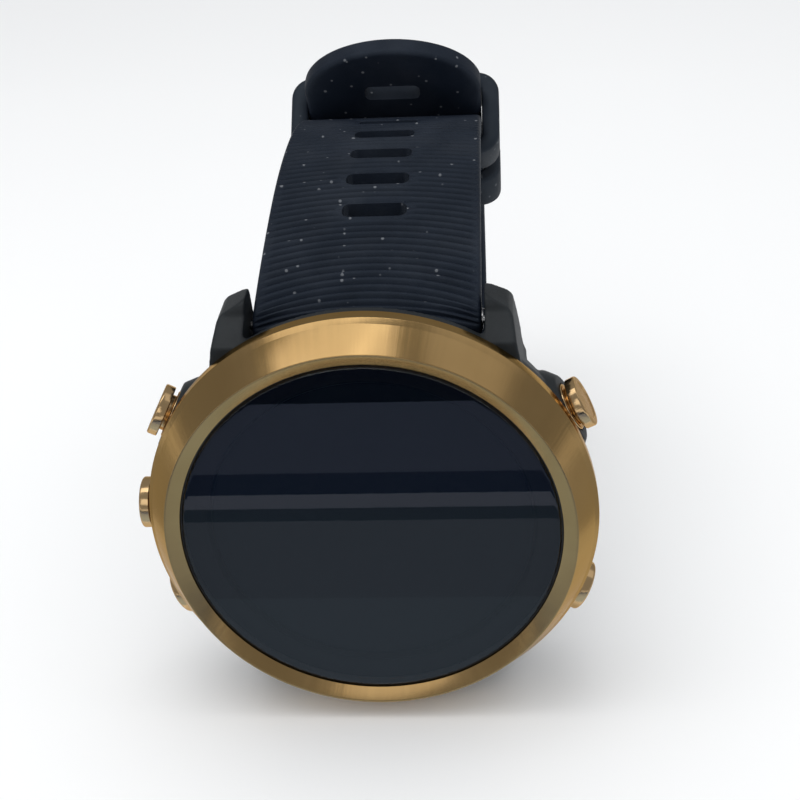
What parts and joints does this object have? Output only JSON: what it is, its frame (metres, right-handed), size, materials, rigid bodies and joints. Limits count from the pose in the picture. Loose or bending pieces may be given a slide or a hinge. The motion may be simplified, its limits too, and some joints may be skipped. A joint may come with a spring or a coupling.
{
  "type": "gps running watch",
  "caption": "Round sports watch with a gold-toned bezel, side push buttons and a ribbed silicone strap closed in a loop by a pin buckle.",
  "frame": {"origin": "centre of the lens's outer face", "axes": "-Y out of the dial, +Z to 12 o'clock, +X to 3 o'clock"},
  "size_m": [0.044, 0.0686, 0.0535],
  "materials": {
    "case_polymer": "fine-textured moulded fibre-reinforced polymer",
    "back_polymer": "satin moulded polymer",
    "gold_brushed": "gold-toned steel, circular brushing",
    "gold_polished": "gold-toned steel, polished",
    "lens_glass": "glossy chemically strengthened glass over a dark display",
    "mask_print": "black printed mask",
    "display_glass": "dark reflective display, switched off",
    "inner_plastic": "moulded",
    "antenna_metal": "stamped",
    "board": "solder mask",
    "shield_metal": "stamped, tinned",
    "battery_foil": "foil pouch",
    "flex_film": "polyimide film",
    "seal_rubber": "moulded rubber",
    "gasket_rubber": "silicone",
    "sensor_glass": "dark tinted window",
    "led_epoxy": "clear epoxy",
    "contact_gold": "gold plated",
    "steel": "turned stainless steel",
    "vent_mesh": "fine mesh",
    "strap_silicone": "matte silicone with moulded cross ribs",
    "keeper_silicone": "matte silicone"
  },
  "bodies": {
    "case": {"mid_case": "case_polymer", "bezel": "gold_brushed", "lens": "lens_glass", "lens_gasket": "seal_rubber", "dial_ring": "mask_print", "display_panel": "display_glass", "display_tray": "inner_plastic", "antenna_ring": "antenna_metal", "circuit_board": "board", "processor_shield": "shield_metal", "battery": "battery_foil", "vibration_motor": "shield_metal", "display_flex": "flex_film", "dome_switches": "shield_metal", "button_bushings": "gold_polished", "button_seals": "seal_rubber", "back_cover": "back_polymer", "case_gasket": "gasket_rubber", "sensor_window": "sensor_glass", "sensor_board": "board", "sensor_leds": "led_epoxy", "charging_contacts": "contact_gold", "back_screws": "steel", "pressure_vent": "vent_mesh", "spring_bar_upper": "steel", "spring_bar_lower": "steel", "strap_short": "strap_silicone", "strap_long": "strap_silicone", "keeper_fixed": "keeper_silicone", "buckle_pin": "steel"},
    "button_2h": {"button_2h": "gold_polished", "clip_2h": "steel"},
    "button_4h": {"button_4h": "gold_polished", "clip_4h": "steel"},
    "button_8h": {"button_8h": "gold_polished", "clip_8h": "steel"},
    "button_9h": {"button_9h": "gold_polished", "clip_9h": "steel"},
    "button_10h": {"button_10h": "gold_polished", "clip_10h": "steel"},
    "release_upper": {"release_pin_upper": "steel"},
    "release_lower": {"release_pin_lower": "steel"},
    "keeper_free": {"keeper_free": "keeper_silicone"},
    "buckle": {"buckle_frame": "gold_polished"},
    "tongue": {"buckle_tongue": "gold_polished"}
  },
  "joints": [
    {"name": "press_2h", "type": "slide", "parent": "case", "child": "button_2h", "axis": [-0.887, 0, -0.4617], "range_m": [0, 0.00035], "stiffness_N_per_m": 2000, "springref_m": -0.0003},
    {"name": "press_4h", "type": "slide", "parent": "case", "child": "button_4h", "axis": [-0.887, 0, 0.4617], "range_m": [0, 0.00035], "stiffness_N_per_m": 2000, "springref_m": -0.0003},
    {"name": "press_8h", "type": "slide", "parent": "case", "child": "button_8h", "axis": [0.887, 0, 0.4617], "range_m": [0, 0.00035], "stiffness_N_per_m": 2000, "springref_m": -0.0003},
    {"name": "press_9h", "type": "slide", "parent": "case", "child": "button_9h", "axis": [1, 0, 0], "range_m": [0, 0.00035], "stiffness_N_per_m": 2000, "springref_m": -0.0003},
    {"name": "press_10h", "type": "slide", "parent": "case", "child": "button_10h", "axis": [0.887, 0, -0.4617], "range_m": [0, 0.00035], "stiffness_N_per_m": 2000, "springref_m": -0.0003},
    {"name": "release_upper", "type": "slide", "parent": "case", "child": "release_upper", "axis": [1, 0, 0], "range_m": [0, 0.0012], "stiffness_N_per_m": 1200, "springref_m": -0.0004},
    {"name": "release_lower", "type": "slide", "parent": "case", "child": "release_lower", "axis": [1, 0, 0], "range_m": [0, 0.0012], "stiffness_N_per_m": 1200, "springref_m": -0.0004},
    {"name": "keeper_shift", "type": "hinge", "parent": "case", "child": "keeper_free", "pos_m": [0, 0.04796, 0.01089], "axis": [-1, 0, 0], "range_deg": [-1, 7]},
    {"name": "buckle_swing", "type": "hinge", "parent": "case", "child": "buckle", "pos_m": [0, 0.06119, -0.00515], "axis": [1, 0, 0], "range_deg": [0, 6]},
    {"name": "tongue_swing", "type": "hinge", "parent": "case", "child": "tongue", "pos_m": [0, 0.06119, -0.00515], "axis": [1, 0, 0], "range_deg": [0, 6]}
  ],
  "couplings": [
    {"joint": "tongue_swing", "follows": "buckle_swing", "ratio": 1}
  ]
}
